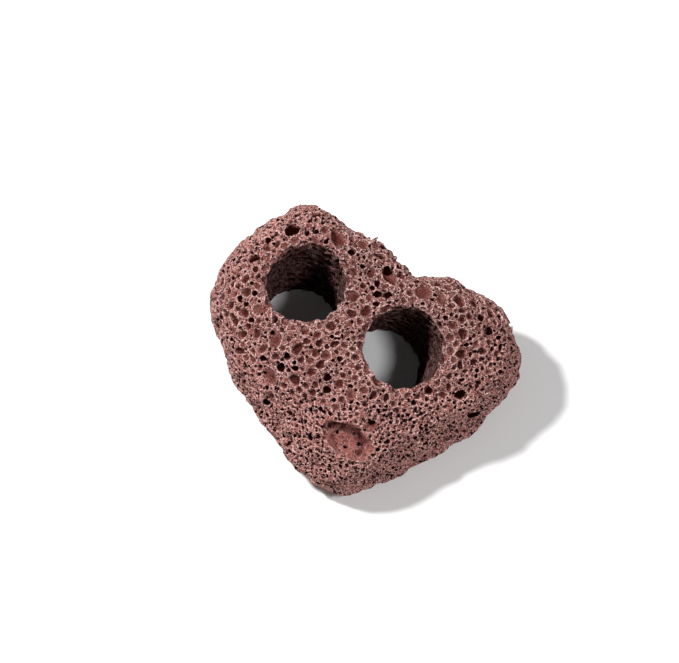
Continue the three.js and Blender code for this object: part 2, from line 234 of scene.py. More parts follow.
def unit(vector):
    vector = np.asarray(vector, float)
    return vector / np.linalg.norm(vector)


def mm(values):
    return np.asarray(values, float) * MM


class DistanceBlock:
    """Signed distances to the rock's surface on a regular grid, in metres, negative inside."""

    BAND = 9 # voxels each side of the surface that are known

    def __init__(self, points, triangles, step):
        self.step = step
        self.low = np.floor(points.min(0) / step).astype(int) - self.BAND - 2
        high = np.ceil(points.max(0) / step).astype(int) + self.BAND + 2
        transform = openvdb.createLinearTransform(voxelSize=step)
        grid = openvdb.FloatGrid.createLevelSetFromPolygons(
            points.astype(np.float32), triangles=triangles, transform=transform, halfWidth=self.BAND
        )
        self.values = np.zeros(high - self.low, np.float32)
        grid.copyToArray(self.values, ijk=tuple(int(i) for i in self.low))
        self.inset = np.full(self.values.shape, -MM, np.float32)

    def window(self, centre, reach):
        """The part of the block round a place, and the offsets of its voxels from that place."""
        first = np.floor((centre - reach) / self.step).astype(int) - self.low
        last = np.ceil((centre + reach) / self.step).astype(int) - self.low + 1
        first = np.clip(first, 0, self.values.shape)
        last = np.clip(last, 0, self.values.shape)
        part = tuple(slice(a, b) for a, b in zip(first, last))
        offsets = [
            ((np.arange(a, b) + low) * self.step - c).astype(np.float32)
            for a, b, low, c in zip(first, last, self.low, centre)
        ]
        return part, np.meshgrid(*offsets, indexing="ij", sparse=True)

    def carve_ellipsoid(self, centre, axes, radii):
        """Carves an ellipsoid. The axes are its three unit axes, as columns."""
        part, offsets = self.window(centre, max(radii) + 2 * self.step)
        scaled = 0
        squeezed = 0
        for axis, radius in zip(axes.T, radii):
            along = sum(o * np.float32(a) for o, a in zip(offsets, axis)) / np.float32(radius)
            scaled = scaled + along * along
            squeezed = squeezed + along * along / np.float32(radius * radius)
        scaled = np.sqrt(scaled)
        length = np.where(scaled > 0, scaled / np.sqrt(np.maximum(squeezed, 1e-6)), min(radii))
        outside = (length * (1 - scaled)).astype(np.float32)
        np.maximum(self.values[part], outside, out=self.values[part])

    def carve_pore(self, place, axes, half_width, half_height, deep, phase=0):
        """Carves a roundish pore and notes how far inside its rim each voxel is."""
        half = math.sqrt(half_width * half_height)
        radius = (half * half + deep * deep) / (2 * deep) if deep < half else half
        shift = max(radius - deep, 0)
        part, offsets = self.window(place, max(half_width, half_height, deep) + 2 * self.step)
        x, y, z = (sum(o * np.float32(a) for o, a in zip(offsets, axis)) for axis in axes.T)
        x = x * (half / half_width)
        y = y * (half / half_height)
        turn = np.arctan2(y, x) + np.float32(phase)
        lobes = sum(size * np.sin(waves * turn + waves * waves) for waves, size in LOBES)
        away = np.hypot(x, y) * (1 + lobes)
        height = (z - shift) * (radius / max(radius, deep))
        bowl = radius - np.hypot(away, height)
        carved = np.minimum(bowl, WIDEST * half - away).astype(np.float32)
        np.maximum(self.values[part], carved, out=self.values[part])
        inside = np.where(np.abs(z) < deep + 0.5 * MM, half - away, -MM).astype(np.float32)
        np.maximum(self.inset[part], inside, out=self.inset[part])

    def carve_bore(self, mouth, end, radius, ripple, pitch):
        """Cuts a round hole right through, with faint rings left by the drill on its wall."""
        way = unit(mouth - end)
        middle = (mouth + end) / 2
        part, offsets = self.window(middle, np.linalg.norm(mouth - end))
        along = sum(o * np.float32(w) for o, w in zip(offsets, way))
        square = sum(o * o for o in offsets) - along * along
        rings = ripple * np.sin(along * (2 * math.pi / pitch))
        outside = radius + rings - np.sqrt(np.maximum(square, 0))
        np.maximum(self.values[part], outside, out=self.values[part])

    def blurred(self, spread):
        """A copy of the values softened over that length."""
        return blur(self.values, spread, self.step)

    def shell(self):
        """Index places of the voxels at the surface, and the unit normals there."""
        indices = np.argwhere(np.abs(self.values) < 0.5 * self.step)
        normals = self.slopes(indices)
        steep = np.linalg.norm(normals, axis=1) > 0.5
        return indices[steep], normals[steep]

    def places(self, indices):
        return (indices + self.low) * self.step

    def slopes(self, indices):
        """Unit normals at voxels."""
        ways = np.empty((len(indices), 3), np.float32)
        for axis in range(3):
            ahead = indices.copy()
            behind = indices.copy()
            ahead[:, axis] += 1
            behind[:, axis] -= 1
            ways[:, axis] = self.values[tuple(ahead.T)] - self.values[tuple(behind.T)]
        return ways / np.maximum(np.linalg.norm(ways, axis=1, keepdims=True), 1e-9)

    def meshed(self):
        """The surface as points and four-sided faces."""
        grid = openvdb.FloatGrid(float(self.values.max()))
        grid.copyFromArray(self.values, ijk=tuple(int(i) for i in self.low))
        grid.transform = openvdb.createLinearTransform(voxelSize=self.step)
        points, _, quads = grid.convertToPolygons(isovalue=0, adaptivity=0)
        return points, quads


def blur(values, spread, step):
    reach = math.ceil(2.5 * spread / step)
    taps = np.exp(-0.5 * (np.arange(-reach, reach + 1) * step / spread) ** 2)
    taps = taps / taps.sum()
    for axis in range(3):
        count = values.shape[axis]
        summed = np.zeros_like(values)
        for tap, shift in zip(taps.astype(np.float32), range(-reach, reach + 1)):
            source = [slice(None)] * 3
            target = [slice(None)] * 3
            source[axis] = slice(max(0, shift), count + min(0, shift))
            target[axis] = slice(max(0, -shift), count + min(0, -shift))
            summed[tuple(target)] += tap * values[tuple(source)]
        values = summed
    return values


def roughened(block, kind, random):
    """The block's values with an unevenness of that length and height added."""
    noise = random.standard_normal(block.values.shape, dtype=np.float32)
    noise = blur(noise, kind["length"] * MM, block.step)
    return block.values + noise * np.float32(kind["height"] * MM / noise.std())


def sampled(block, values, points):
    """Values of a block at any points, blended between the voxels."""
    place = points / block.step - block.low
    base = np.clip(np.floor(place).astype(int), 0, np.array(values.shape) - 2)
    part = (place - base).astype(np.float32)
    total = np.zeros(len(points), np.float32)
    for corner in np.ndindex(2, 2, 2):
        weight = np.prod(np.where(corner, part, 1 - part), axis=1)
        total += weight * values[tuple((base + corner).T)]
    return total


def seen_height(points):
    """How high places are in the photograph's view, in millimetres from its middle."""
    return points @ SIGHT_UP / MM - SEEN_MIDDLE[1]


def facing_axes(normal, upward):
    """Columns: across, up and out of the surface."""
    across = unit(np.cross(upward, normal))
    return np.stack((across, np.cross(normal, across), normal), axis=1)


def turned(axes, lean, dip):
    spin = Matrix.Rotation(math.radians(lean), 3, "Z") @ Matrix.Rotation(-math.radians(dip), 3, "X")
    return axes @ np.array(spin)


def merged_node(name):
    """A merged copy of a CAD node's mesh."""
    form = bmesh.new()
    form.from_mesh(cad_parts[name].data)
    bmesh.ops.remove_doubles(form, verts=form.verts, dist=1e-7)
    return form


def skin_place(tree, across, up, width, height):
    """Where the skin is at a mark of the face, and its normal, from a ring of sights round it.

    Sights that pass the rock's edge, or hit it far behind the others, don't count.
    """
    sights = 12
    ring = 0.62 # radius of the ring, as a share of the mark's size
    middle = mm((across + SEEN_MIDDLE[0], 0, 0)) + SIGHT_UP * (up + SEEN_MIDDLE[1]) * MM
    hits = []
    for turn in np.linspace(0, 2 * math.pi, sights, endpoint=False):
        aside = np.array((math.cos(turn) * ring * width * MM, 0, 0))
        above = SIGHT_UP * math.sin(turn) * ring * height * MM
        hit = tree.ray_cast(Vector(middle + aside + above - SIGHT_WAY), Vector(SIGHT_WAY))[0]
        if hit is not None:
            hits.append(np.array(hit))
    hits = np.array(hits)
    depths = hits @ SIGHT_WAY
    middling = np.sort(depths)[len(depths) // 2]
    kept = hits[np.abs(depths - middling) < 0.6 * (width + height) * MM]
    centre = middle + SIGHT_WAY * (np.median(kept @ SIGHT_WAY) - middle @ SIGHT_WAY)
    normal = np.linalg.svd(kept - kept.mean(0))[2][2]
    return centre, -normal if normal @ SIGHT_WAY > 0 else normal


def carve_marks(block, tree, marks, share):
    """Carves marks at their places, drawn out along the skin where it slants away from the eye."""
    for across, up, width, height, *turn in marks:
        centre, normal = skin_place(tree, across, up, width, height)
        axes = facing_axes(normal, SIGHT_UP)
        seen = np.maximum(np.sqrt(1 - (SIGHT_WAY @ axes[:, :2]) ** 2), MOST_SLANTED)
        halves = mm((width, height)) / 2 / seen
        deep = share * min(width, height) * MM
        block.carve_pore(centre, turned(axes, sum(turn), 0), *halves, deep, across + up)


def scoop_axes(scoop, upward):
    """Columns: along the scoop's width, length and thickness."""
    bearing, elevation = (math.radians(angle) for angle in scoop["facing"])
    flat = math.cos(elevation)
    normal = np.array((flat * math.cos(bearing), flat * math.sin(bearing), math.sin(elevation)))
    return turned(facing_axes(normal, upward), scoop["lean"], scoop["dip"])


def carve_scoop(block, scoop, upward):
    block.carve_ellipsoid(mm(scoop["middle"]), scoop_axes(scoop, upward), mm(scoop["size"]) / 2)


def ball_mask(reach):
    around = np.arange(-reach, reach + 1)
    x, y, z = np.meshgrid(around, around, around, indexing="ij", sparse=True)
    return x * x + y * y + z * z <= (reach + 0.3) ** 2


def scoop_nearness(points):
    """1 on the smooth floor of the face's scoop, 0 away from it."""
    offsets = (points - mm(FACE_SCOOP["middle"])) @ scoop_axes(FACE_SCOOP, SIGHT_UP)
    scaled = np.linalg.norm(offsets / (mm(FACE_SCOOP["size"]) / 2), axis=1)
    return np.clip((1.15 - scaled) / 0.3, 0, 1)


def bore_depth(points, mouths):
    """How far inside a bore places are, in millimetres under its mouth."""
    depth = np.zeros(len(points))
    for bore, (centre, normal) in zip(BORES, mouths):
        way = unit(mm(bore["mouth"]) - mm(bore["end"]))
        offsets = points - mm(bore["mouth"])
        away = np.linalg.norm(offsets - np.outer(offsets @ way, way), axis=1)
        inside = away < (BORE_WIDTH / 2 + BORE_WALL) * MM
        depth = np.where(inside, np.maximum(depth, (centre - points) @ normal / MM), depth)
    return depth


def fineness(points):
    """0 where the pores are wide, 1 towards the edges of the face where they are narrow."""
    across = (points[:, 0] / MM - SEEN_MIDDLE[0] - COARSE_MIDDLE[0]) / COARSE_REACH[0]
    up = (seen_height(points) - COARSE_MIDDLE[1]) / COARSE_REACH[1]
    return np.clip(2.5 * np.hypot(across, up) - 1.5, 0, 1)


def carve_pores(block, kinds, random, taken):
    """Carves pores of each kind in turn, each in a place that no earlier one has taken."""
    shell, normals = block.shell()
    carved = []
    for kind in kinds:
        pool = np.flatnonzero(~taken[tuple(shell.T)])
        picks = random.choice(pool, size=min(kind["tries"], len(pool)), replace=False)
        places = block.places(shell[picks])
        widths = random.uniform(*kind["width"], len(picks))
        depths = random.uniform(*kind["depth"], len(picks))
        stretches = random.uniform(*STRETCH, len(picks))
        turns = random.uniform(0, math.pi, len(picks))
        too_wide = widths / FINE_WIDTH * fineness(places) > random.uniform(0.8, 1.3, len(picks))
        too_wide |= (scoop_nearness(places) > 0) & (random.random(len(picks)) < SCOOP_BARE)
        for i in np.flatnonzero(~too_wide):
            reach = max(1, round((0.5 * widths[i] + kind["wall"]) * MM / block.step))
            part = tuple(slice(j - reach, j + reach + 1) for j in shell[picks[i]])
            mask = ball_mask(reach)
            if (taken[part] & mask).any():
                continue
            taken[part] |= mask
            carved.append((picks[i], places[i], widths[i], depths[i], stretches[i], turns[i]))
    for pick, place, width, depth, stretch, turn in carved:
        normal = normals[pick]
        across = unit(np.cross(normal, SIGHT_UP + (0.1, 0, 0)))
        along = math.cos(turn) * across + math.sin(turn) * np.cross(normal, across)
        axes = np.stack((along, np.cross(normal, along), normal), axis=1)
        half = width / 2 * MM
        block.carve_pore(place, axes, half * stretch, half / stretch, depth * width * MM, turn * 7)


def rock_block(settings):
    """The block with its bores and scoops, the node's tree for sights, and the bores' mouths."""
    form = merged_node(NODE)
    tree = BVHTree.FromBMesh(form)
    points = np.array([vertex.co[:] for vertex in form.verts])
    triangles = np.array([[v.index for v in face.verts] for face in form.faces], np.uint32)
    form.free()
    block = DistanceBlock(points, triangles, settings.step)
    block.values = block.blurred(settings.softening)
    for bore in BORES:
        ends = mm(bore["mouth"]), mm(bore["end"])
        block.carve_bore(*ends, BORE_WIDTH / 2 * MM, BORE_RIPPLE * MM, BORE_PITCH * MM)
    carve_scoop(block, FACE_SCOOP, SIGHT_UP)
    for scoop in SIDE_SCOOPS:
        carve_scoop(block, scoop, np.array((0, 0, 1)))
    mouths = [skin_place(tree, *bore["seen"], BORE_WIDTH, BORE_WIDTH) for bore in BORES]
    return block, tree, mouths


def carved_rock(settings):
    """The carved block, its values before the dark pores, and the mouths of the bores.

    The marks take their places first. The cells fill what is left of the skin, and the dark pores
    come between and inside the cells. Nothing stays below the floor.
    """
    block, tree, mouths = rock_block(settings)
    random = np.random.default_rng(SEED)
    skin = block.values.copy()
    block.values = roughened(block, UNEVENNESS, random)
    carve_marks(block, tree, DISHES, DISH_DEPTH)
    carve_marks(block, tree, HOLLOWS, HOLLOW_DEPTH)
    dished = block.values.copy()
    carve_marks(block, tree, PITS, PIT_DEPTH)
    pitted = block.values
    taken = block.inset > 0
    block.values = dished
    carve_pores(block, CELLS, random, taken)
    inset = block.inset.copy()
    cells = block.values.copy()
    np.maximum(block.values, pitted, out=block.values)
    in_dish = (dished - skin > DISH_FROM * MM) & (random.random(skin.shape) < DISH_BARE)
    taken = (pitted - dished > PIT_FROM * MM) | in_dish
    carve_pores(block, DARK_PORES, random, taken)
    block.values = block.blurred(settings.rounding)
    block.values = roughened(block, ROUGHNESS, random)
    floor = (np.arange(block.values.shape[2]) + block.low[2]) * block.step
    np.maximum(block.values, -floor.astype(np.float32), out=block.values)
    block.inset = inset
    return block, cells, mouths


def plain_mesh(name, points, quads):
    mesh = bpy.data.meshes.new(name)
    mesh.vertices.add(len(points))
    mesh.vertices.foreach_set("co", points.ravel())
    mesh.loops.add(quads.size)
    mesh.loops.foreach_set("vertex_index", quads.ravel().astype(np.int32))
    mesh.polygons.add(len(quads))
    mesh.polygons.foreach_set("loop_start", np.arange(0, quads.size, 4, dtype=np.int32))
    mesh.update(calc_edges=True)
    return mesh


def decimated(piece, triangles, group=""):
    """Thins a piece to that many triangles, only inside the vertex group if one is given."""
    decimate = piece.modifiers.new("Thin", "DECIMATE")
    decimate.ratio = min(1, triangles / triangle_count(piece.data))
    decimate.use_collapse_triangulate = True
    decimate.vertex_group = group
    decimate.vertex_group_factor = 1000
    seen = piece.evaluated_get(bpy.context.evaluated_depsgraph_get())
    mesh = bpy.data.meshes.new_from_object(seen)
    piece.modifiers.clear()
    old = piece.data
    piece.data = mesh
    bpy.data.meshes.remove(old)


def triangle_count(mesh):
    return len(mesh.loops) - 2 * len(mesh.polygons)


def looking_up(block, points):
    """How much each place of the softened rock faces the eye: 1 where it looks straight at it."""
    soft = block.blurred(FACE_SPREAD * MM)
    ways = np.empty((len(points), 3))
    for axis in range(3):
        shift = np.zeros(3)
        shift[axis] = block.step
        ways[:, axis] = sampled(block, soft, points + shift) - sampled(block, soft, points - shift)
    return -(ways @ SIGHT_WAY) / np.linalg.norm(ways, axis=1)


def is_hidden(points, mouths):
    return (points[:, 2] < UNDERSIDE * MM) | (bore_depth(points, mouths) > BORE_FINE)


def thinned(piece, triangles, block, mouths):
    """Thins the hidden parts first and then the sides, so that the face stays finest."""
    hidden = is_hidden(vertex_points(piece.data), mouths)
    thin_part(piece, hidden, round(HIDDEN_SHARE * triangles))
    points = vertex_points(piece.data)
    sides = ~is_hidden(points, mouths) & (looking_up(block, points) < FACE_FROM)
    thin_part(piece, sides, round(SIDES_SHARE * triangles))
    decimated(piece, triangles)


def thin_part(piece, chosen, triangles):
    """Thins only the chosen points' part of a piece, to about that many triangles."""
    group = piece.vertex_groups.new(name="thin")
    group.add(np.flatnonzero(chosen).tolist(), 1, "REPLACE")
    count = triangle_count(piece.data)
    now = count * chosen.mean()
    if now > triangles:
        decimated(piece, round(count - now + triangles), "thin")
    piece.vertex_groups.clear()


def without_crumbs(piece):
    """Deletes the tiny loose shells that the carving left, and keeps the largest."""
    form = bmesh.new()
    form.from_mesh(piece.data)
    ends = np.array([(edge.verts[0].index, edge.verts[1].index) for edge in form.edges])
    shell = np.arange(len(form.verts))
    while True:
        lower = shell.copy()
        least = shell[ends].min(axis=1)
        np.minimum.at(lower, ends[:, 0], least)
        np.minimum.at(lower, ends[:, 1], least)
        lower = lower[lower]
        if (lower == shell).all():
            break
        shell = lower
    crumbs = np.flatnonzero(shell != np.bincount(shell).argmax())
    form.verts.ensure_lookup_table()
    bmesh.ops.delete(form, geom=[form.verts[i] for i in crumbs], context="VERTS")
    form.to_mesh(piece.data)
    form.free()


def vertex_points(mesh):
    points = np.empty(3 * len(mesh.vertices))
    mesh.vertices.foreach_get("co", points)
    return points.reshape(-1, 3)


def write_attribute(mesh, name, values):
    attribute = mesh.attributes.new(name, "FLOAT", "POINT")
    attribute.data.foreach_set("value", values.astype(np.float32))


def describe_surface(piece, block, cells, mouths):
    """Writes what the material reads at each point.

    In millimetres: the depth in a dark pore, how far the point lies under the softened surface,
    how far it stands out, how far inside a pore's rim it is, and its depth in a bore. From 0 to 1:
    how fine the pores are there, and how near the scoop is.
    """
    mesh = piece.data
    points = vertex_points(mesh)
    shelter = block.blurred(SHELTER_SPREAD * MM)
    crest = block.blurred(CREST_SPREAD * MM)
    write_attribute(mesh, "depth", -sampled(block, cells, points) / MM)
    write_attribute(mesh, "shelter", -sampled(block, shelter, points) / MM)
    write_attribute(mesh, "crest", sampled(block, crest, points) / MM)
    write_attribute(mesh, "inset", sampled(block, block.inset, points) / MM)
    write_attribute(mesh, "fine", fineness(points))
    write_attribute(mesh, "bore", bore_depth(points, mouths))
    write_attribute(mesh, "scoop", scoop_nearness(points))


class LavaRockForm(bpy.types.PropertyGroup):
    """How finely the rock is carved."""

    step: FloatProperty(
        name="Grid step", description="Distance between the points of the carved block",
        default=0.3 * MM, min=0.2 * MM, max=2 * MM, precision=5, unit="LENGTH",
    )
    softening: FloatProperty(
        name="Facet softening", description="Length over which the facets are softened away",
        default=1.0 * MM, min=0, max=4 * MM, precision=5, unit="LENGTH",
    )
    rounding: FloatProperty(
        name="Rim rounding", description="Length over which the rims of the pores are rounded",
        default=0.12 * MM, min=0, max=1 * MM, precision=5, unit="LENGTH",
    )
    triangles: IntProperty(
        name="Triangles", description="Most triangles in the finished rock",
        default=195000, min=10000, max=199000,
    )


class LavaRockColours(bpy.types.PropertyGroup):
    """Colours of the scoria, with the dark red and the near-black that paint shade on it."""

    crest: FloatVectorProperty(
        name="Crests", description="Pale dust on the rims of the pores",
        default=(0.76, 0.505, 0.468), size=3, min=0, max=1, subtype="COLOR",
    )
    skin: FloatVectorProperty(
        name="Skin", description="The stone between rims and floors",
        default=(0.183, 0.061, 0.053), size=3, min=0, max=1, subtype="COLOR",
    )
    red_skin: FloatVectorProperty(
        name="Red skin", description="Patches where the stone is redder",
        default=(0.2, 0.064, 0.053), size=3, min=0, max=1, subtype="COLOR",
    )
    # Painted shade: this dark red is laid just inside the rims of the pores and in sheltered hollows.
    cell: FloatVectorProperty(
        name="Cells", description="The shaded insides of the wider pores",
        default=(0.065, 0.012, 0.009), size=3, min=0, max=1, subtype="COLOR",
    )
    fine: FloatVectorProperty(
        name="Fine skin", description="The stone between the fine pores towards the edges",
        default=(0.3, 0.098, 0.084), size=3, min=0, max=1, subtype="COLOR",
    )
    # Painted shade: this near-black is laid in pits, dark pores, small holes, small creases and deeper
    # in the bores; the random dark flecks take it too.
    pit: FloatVectorProperty(
        name="Pits", description="The dark insides of deep pores",
        default=(0.014, 0.002, 0.0014), size=3, min=0, max=1, subtype="COLOR",
    )


class LavaRockStudio(bpy.types.PropertyGroup):
    """Camera, floor and light."""

    distance: FloatProperty(
        name="Camera distance", description="From the camera to the rock",
        default=1.8, min=0.5, max=5, unit="LENGTH",
    )
    pixel: FloatProperty(
        name="Pixel", description="Length at the rock that one pixel of the photograph shows",
        default=0.316 * MM, min=0.1 * MM, max=1 * MM, precision=6, unit="LENGTH",
    )
    floor: FloatVectorProperty(
        name="Floor", description="Colour of the floor",
        default=(0.9, 0.9, 0.9), size=3, min=0, max=1, subtype="COLOR",
    )
    light: FloatProperty(
        name="Light", description="Power of the main light", default=12, min=0, unit="POWER",
    )


def add_node(tree, kind, inputs=None, **settings):
    node = tree.nodes.new(kind)
    for name, value in settings.items():
        setattr(node, name, value)
    for key, value in (inputs or {}).items():
        if isinstance(value, bpy.types.NodeSocket):
            tree.links.new(value, node.inputs[key])
        else:
            node.inputs[key].default_value = value
    return node


def attribute(tree, name):
    return add_node(tree, "ShaderNodeAttribute", attribute_name=name).outputs["Fac"]


def ramp(tree, value, low, high, start=0, end=1):
    """start where value is low, end where it is high, and smooth between them."""
    return add_node(
        tree, "ShaderNodeMapRange",
        {"Value": value, "From Min": low, "From Max": high, "To Min": start, "To Max": end},
        interpolation_type="SMOOTHSTEP",
    ).outputs["Result"]


def blend(tree, share, first, second):
    """The first colour where share is 0, the second where it is 1."""
    mix = tree.nodes.new("ShaderNodeMix")
    mix.data_type = "RGBA"
    colours = [socket for socket in mix.inputs if socket.type == "RGBA"]
    for socket, value in zip((mix.inputs[0], *colours), (share, first, second)):
        if isinstance(value, bpy.types.NodeSocket):
            tree.links.new(value, socket)
        else:
            socket.default_value = value
    return next(socket for socket in mix.outputs if socket.type == "RGBA")


def calculated(tree, operation, first, second):
    return add_node(tree, "ShaderNodeMath", {0: first, 1: second}, operation=operation).outputs["Value"]


def greatest(tree, *values):
    result = values[0]
    for value in values[1:]:
        result = calculated(tree, "MAXIMUM", result, value)
    return result


def times(tree, first, second):
    return calculated(tree, "MULTIPLY", first, second)


def vector_math(tree, operation, first, second):
    return add_node(
        tree, "ShaderNodeVectorMath", {0: first, 1: second}, operation=operation,
    ).outputs["Vector"]


def new_group(name, inputs, outputs):
    """An empty shader group with number inputs and their defaults, and number outputs."""
    group = bpy.data.node_groups.new(name, "ShaderNodeTree")
    for socket, value in inputs.items():
        made = group.interface.new_socket(socket, in_out="INPUT", socket_type="NodeSocketFloat")
        made.default_value = value
    for socket in outputs:
        group.interface.new_socket(socket, in_out="OUTPUT", socket_type="NodeSocketFloat")
    return group, group.nodes.new("NodeGroupInput").outputs, group.nodes.new("NodeGroupOutput").inputs


def pinhole_group():
    """Small round pores of mixed widths. Least and Most are radii as shares of their spacing.

    Hole is 1 inside a pore, and Rim is 1 just round it. A radius below 0 leaves the pore out, so
    fewer pores show where Least is below 0.
    """
    shift = 0.0005 # the pattern is warped by this much, so that its pores aren't round
    inputs = {"Per Metre": PINHOLES, "Least": 0.1, "Most": 0.4}
    group, given, results = new_group("pinholes", inputs, ["Hole", "Rim"])
    place = add_node(group, "ShaderNodeTexCoord").outputs["Object"]
    warp = add_node(group, "ShaderNodeTexNoise", {"Vector": place, "Scale": WARPS, "Detail": 1})
    warp = vector_math(group, "MULTIPLY", warp.outputs["Color"], (shift,) * 3)
    place = vector_math(group, "ADD", place, warp)
    cells = add_node(group, "ShaderNodeTexVoronoi", {"Vector": place, "Scale": given["Per Metre"]})
    chance = add_node(group, "ShaderNodeSeparateColor", {"Color": cells.outputs["Color"]})
    radius = add_node(group, "ShaderNodeMapRange", {
        "Value": chance.outputs["Red"], "To Min": given["Least"], "To Max": given["Most"],
    })
    radius = greatest(group, radius.outputs["Result"], 0.01)
    share = calculated(group, "DIVIDE", cells.outputs["Distance"], radius)
    beyond = calculated(group, "SUBTRACT", cells.outputs["Distance"], radius)
    rim = times(group, ramp(group, beyond, 0.16, 0.02), ramp(group, share, 0.9, 1))
    group.links.new(ramp(group, share, 1, 0.8), results["Hole"])
    group.links.new(rim, results["Rim"])
    return group


def web_group():
    """Thin lines between small cells, like the walls of a foam."""
    inputs = {"Per Metre": WEB_CELLS, "Width": 0.08}
    group, given, results = new_group("web", inputs, ["Line"])
    place = add_node(group, "ShaderNodeTexCoord").outputs["Object"]
    edges = add_node(
        group, "ShaderNodeTexVoronoi", {"Vector": place, "Scale": given["Per Metre"]},
        feature="DISTANCE_TO_EDGE",
    ).outputs["Distance"]
    group.links.new(ramp(group, edges, given["Width"], 0), results["Line"])
    return group


def grain(tree, per_metre, detail=2):
    place = add_node(tree, "ShaderNodeTexCoord").outputs["Object"]
    inputs = {"Vector": place, "Scale": per_metre, "Detail": detail}
    return add_node(tree, "ShaderNodeTexNoise", inputs).outputs["Fac"]


def small_pores(tree, edge, rough):
    """Rims and holes of the pores too small to carve, which widen towards the edges of the face.

    The holes are later painted near-black as shade.
    """
    group = pinhole_group()
    pores = add_node(tree, "ShaderNodeGroup", {
        "Per Metre": SMALL_PORES,
        "Least": ramp(tree, edge, 0, 1, -0.2, 0.08),
        "Most": ramp(tree, edge, 0, 1, 0.28, 0.5),
    }, node_tree=group)
    pinholes = add_node(tree, "ShaderNodeGroup", {
        "Per Metre": PINHOLES, "Least": -0.1, "Most": ramp(tree, edge, 0, 1, 0.42, 0.56),
    }, node_tree=group)
    finest = add_node(tree, "ShaderNodeGroup", {
        "Per Metre": FINEST_HOLES, "Least": -0.1, "Most": 0.45,
    }, node_tree=group)
    rims = greatest(tree, pores.outputs["Rim"], times(tree, pinholes.outputs["Rim"], 0.8))
    holes = greatest(tree, pores.outputs["Hole"], times(tree, pinholes.outputs["Hole"], 0.9))
    holes = greatest(tree, times(tree, holes, rough), times(tree, finest.outputs["Hole"], 0.7))
    return rims, holes


def crest_dust_and_hollow_shade(tree, rims, inset, edge, rough, fleck):
    """Where the stone is pale: round pores, on what stands out, and in a web between them.

    The small pale marks fade in sheltered hollows, as painted shade.
    """
    web = add_node(tree, "ShaderNodeGroup", node_tree=web_group()).outputs["Line"]
    web = times(tree, web, ramp(tree, edge, 0, 1, 0.3, 0.6))
    small = greatest(tree, times(tree, rims, 0.95), web, ramp(tree, fleck, 0.56, 0.66, 0, 0.7))
    # Painted shade: the small pale marks fade in sheltered hollows.
    painted_shade_fade = ramp(tree, attribute(tree, "shelter"), 0, 0.3, 1, 0.25)
    small = times(tree, times(tree, small, rough), painted_shade_fade)
    rim = times(tree, ramp(tree, inset, 0.08, -0.02), ramp(tree, inset, -0.22, -0.08))
    rim = times(tree, rim, rough)
    return greatest(
        tree, times(tree, rim, 0.9), ramp(tree, attribute(tree, "crest"), 0.1, 0.22), small,
    )


def scoria(colours):
    """Red stone with pale crests, and painted shade: darker on the bottoms of the pores and in
    sheltered hollows, and black in its pits, small pores and creases and deeper in the bores.
    """
    material = bpy.data.materials.new("scoria")
    material.use_nodes = True
    tree = material.node_tree
    shader = tree.nodes["Principled BSDF"]
    shader.inputs["Roughness"].default_value = 0.92
    shader.inputs["Specular IOR Level"].default_value = 0
    edge = attribute(tree, "fine")
    inset = attribute(tree, "inset")
    smooth = attribute(tree, "scoop")
    rough = times(tree, ramp(tree, smooth, 0, 1, 1, 0.1), ramp(tree, inset, 0.3, 1, 1, 0.4))
    fleck = grain(tree, FLECKS, 3)
    speckle = grain(tree, SPECKLES)
    patch = ramp(tree, grain(tree, PATCHES), 0.4, 0.7)
    rims, holes = small_pores(tree, edge, rough)
    crest = crest_dust_and_hollow_shade(tree, rims, inset, edge, rough, fleck)
    crest = times(tree, crest, ramp(tree, speckle, 0.38, 0.55, 0.15, 1))
    # Painted shade: darker in sheltered hollows and just inside the rims of the pores.
    shelter = ramp(tree, attribute(tree, "shelter"), 0, 0.42, 0, 0.9)
    painted_floor_shade = greatest(tree, shelter, ramp(tree, inset, 0.05, 0.4, 0, 0.35))
    flecks = times(tree, ramp(tree, fleck, 0.46, 0.35), rough)
    # Painted shade: near-black in pits and dark pores, and in small creases.
    pit = ramp(tree, attribute(tree, "depth"), 0.1, 0.7)
    painted_crease_shade = ramp(tree, attribute(tree, "crest"), -0.05, -0.2)
    # Painted shade: the walls are darker deeper in the bores.
    bore = ramp(tree, attribute(tree, "bore"), 0.8, 6)
    colour = (*colours.skin, 1)
    # In the blends below, the dark red of sheltered hollows and pore insides and the near-black of
    # pits, small holes, creases and bores are painted shade; the patches, fine skin, scoop, crests and
    # flecks are the stone's own colour.
    for share, cover in (
        (patch, colours.red_skin),
        (edge, colours.fine),
        (times(tree, smooth, 0.7), colours.red_skin),
        (painted_floor_shade, colours.cell),
        (crest, colours.crest),
        (flecks, colours.pit),
        (greatest(tree, pit, holes, times(tree, painted_crease_shade, 0.6)), colours.pit),
        (times(tree, bore, 0.8), colours.pit),
    ):
        colour = blend(tree, share, colour, (*cover, 1))
    tree.links.new(colour, shader.inputs["Base Color"])
    height = calculated(tree, "SUBTRACT", speckle, holes)
    bump = add_node(tree, "ShaderNodeBump", {"Height": height, "Distance": GRAIN * MM, "Strength": 1})
    tree.links.new(bump.outputs["Normal"], shader.inputs["Normal"])
    return material


class LAVA_OT_rock(bpy.types.Operator):
    """Carves the rock from a copy of its CAD node"""

    bl_idname = "lava.rock"
    bl_label = "Lava rock"

    def execute(self, context):
        settings = context.scene.lava_form
        block, cells, mouths = carved_rock(settings)
        points, quads = block.meshed()
        piece = bpy.data.objects.new("porous_rock", plain_mesh("porous_rock", points, quads))
        context.scene.collection.objects.link(piece)
        thinned(piece, settings.triangles, block, mouths)
        without_crumbs(piece)
        points = np.clip(vertex_points(piece.data), *CAD_BOX)
        piece.data.vertices.foreach_set("co", points.ravel())
        describe_surface(piece, block, cells, mouths)
        piece.data.polygons.foreach_set("use_smooth", [False] * len(piece.data.polygons))
        piece.data.materials.append(scoria(context.scene.lava_colours))
        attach(piece, "root")
        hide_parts(NODE)
        return {"FINISHED"}


